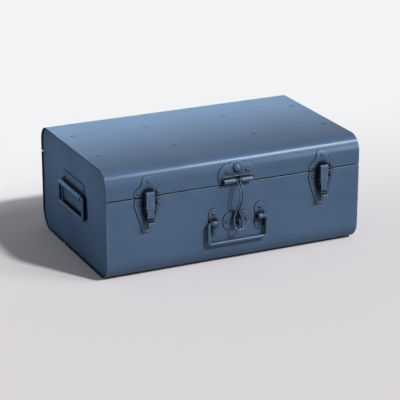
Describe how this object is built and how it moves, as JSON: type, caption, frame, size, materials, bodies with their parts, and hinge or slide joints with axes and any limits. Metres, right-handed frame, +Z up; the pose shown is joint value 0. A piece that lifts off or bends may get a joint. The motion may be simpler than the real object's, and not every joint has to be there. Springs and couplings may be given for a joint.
{
  "type": "metal trunk",
  "caption": "Painted sheet-metal storage trunk with rounded edges, hinged lid, draw latches, wire hasp and staple, and folding bail handles on its front and ends.",
  "frame": {"origin": "centre of the case's footprint on the floor, under the middle of the case's length and depth", "axes": "+X along the length to the right as seen from the front, front with latches and hasp at -Y, +Z up"},
  "size_m": [0.5172, 0.3494, 0.202],
  "materials": {
    "paint_case": "satin blue-grey enamel with a faint orange-peel",
    "paint_hardware": "satin blue-grey enamel, rubbed at the edges"
  },
  "bodies": {
    "body": {"body_wrapper": "paint_case", "body_end_left": "paint_case", "body_end_right": "paint_case", "rim_lip_front": "paint_case", "rim_lip_back": "paint_case", "rim_lip_left": "paint_case", "rim_lip_right": "paint_case", "hinge_body_leaf_left": "paint_hardware", "hinge_body_leaf_right": "paint_hardware", "hinge_pin_left": "paint_hardware", "hinge_pin_right": "paint_hardware", "hinge_body_rivets": "paint_hardware", "latch_base_left": "paint_hardware", "latch_base_right": "paint_hardware", "latch_base_rivets": "paint_hardware", "latch_pivot_pin_left": "paint_hardware", "latch_pivot_pin_right": "paint_hardware", "staple_plate": "paint_hardware", "staple": "paint_hardware", "staple_rivets": "paint_hardware", "front_handle_bracket_left": "paint_hardware", "front_handle_bracket_right": "paint_hardware", "front_handle_rivets": "paint_hardware", "side_handle_plate_left": "paint_hardware", "side_handle_plate_right": "paint_hardware", "side_handle_rivets": "paint_hardware"},
    "lid": {"lid_wrapper": "paint_case", "lid_end_left": "paint_case", "lid_end_right": "paint_case", "lid_stiffener_front": "paint_case", "lid_stiffener_back": "paint_case", "hinge_lid_leaf_left": "paint_hardware", "hinge_lid_leaf_right": "paint_hardware", "hinge_lid_rivets": "paint_hardware", "latch_keeper_left": "paint_hardware", "latch_keeper_right": "paint_hardware", "latch_keeper_rivets": "paint_hardware", "hasp_plate": "paint_hardware", "hasp_pin": "paint_hardware", "hasp_plate_rivets": "paint_hardware", "hasp_dome_rivet": "paint_hardware"},
    "hasp": {"hasp_wire": "paint_hardware"},
    "latch_lever_left": {"latch_lever_left": "paint_hardware", "latch_link_pin_left": "paint_hardware"},
    "latch_lever_right": {"latch_lever_right": "paint_hardware", "latch_link_pin_right": "paint_hardware"},
    "latch_link_left": {"latch_link_left": "paint_hardware"},
    "latch_link_right": {"latch_link_right": "paint_hardware"},
    "front_bail": {"front_handle_bail": "paint_hardware"},
    "side_bail_left": {"side_handle_bail_left": "paint_hardware"},
    "side_bail_right": {"side_handle_bail_right": "paint_hardware"}
  },
  "joints": [
    {"name": "lid_hinge", "type": "hinge", "parent": "body", "child": "lid", "pos_m": [0, 0.1639, 0.1495], "axis": [-1, 0, 0], "range_deg": [0, 105]},
    {"name": "hasp_swing", "type": "hinge", "parent": "lid", "child": "hasp", "pos_m": [0, -0.1654, 0.1564], "axis": [-1, 0, 0], "range_deg": [0, 115]},
    {"name": "front_bail_swing", "type": "hinge", "parent": "body", "child": "front_bail", "pos_m": [0, -0.1664, 0.082], "axis": [-1, 0, 0], "range_deg": [0, 120]},
    {"name": "side_bail_left_swing", "type": "hinge", "parent": "body", "child": "side_bail_left", "pos_m": [-0.2538, 0, 0.1235], "axis": [0, 1, 0], "range_deg": [0, 165]},
    {"name": "side_bail_right_swing", "type": "hinge", "parent": "body", "child": "side_bail_right", "pos_m": [0.2538, 0, 0.1235], "axis": [0, -1, 0], "range_deg": [0, 165]},
    {"name": "latch_lever_left_turn", "type": "hinge", "parent": "body", "child": "latch_lever_left", "pos_m": [-0.1717, -0.1682, 0.1444], "axis": [-1, 0, 0], "range_deg": [0, 95]},
    {"name": "latch_link_left_turn", "type": "hinge", "parent": "latch_lever_left", "child": "latch_link_left", "pos_m": [-0.1717, -0.1682, 0.1334], "axis": [-1, 0, 0], "range_deg": [-95, 0]},
    {"name": "latch_lever_right_turn", "type": "hinge", "parent": "body", "child": "latch_lever_right", "pos_m": [0.1717, -0.1682, 0.1444], "axis": [-1, 0, 0], "range_deg": [0, 95]},
    {"name": "latch_link_right_turn", "type": "hinge", "parent": "latch_lever_right", "child": "latch_link_right", "pos_m": [0.1717, -0.1682, 0.1334], "axis": [-1, 0, 0], "range_deg": [-95, 0]}
  ],
  "couplings": [
    {"joint": "latch_link_left_turn", "follows": "latch_lever_left_turn", "ratio": -1},
    {"joint": "latch_link_right_turn", "follows": "latch_lever_right_turn", "ratio": -1}
  ]
}
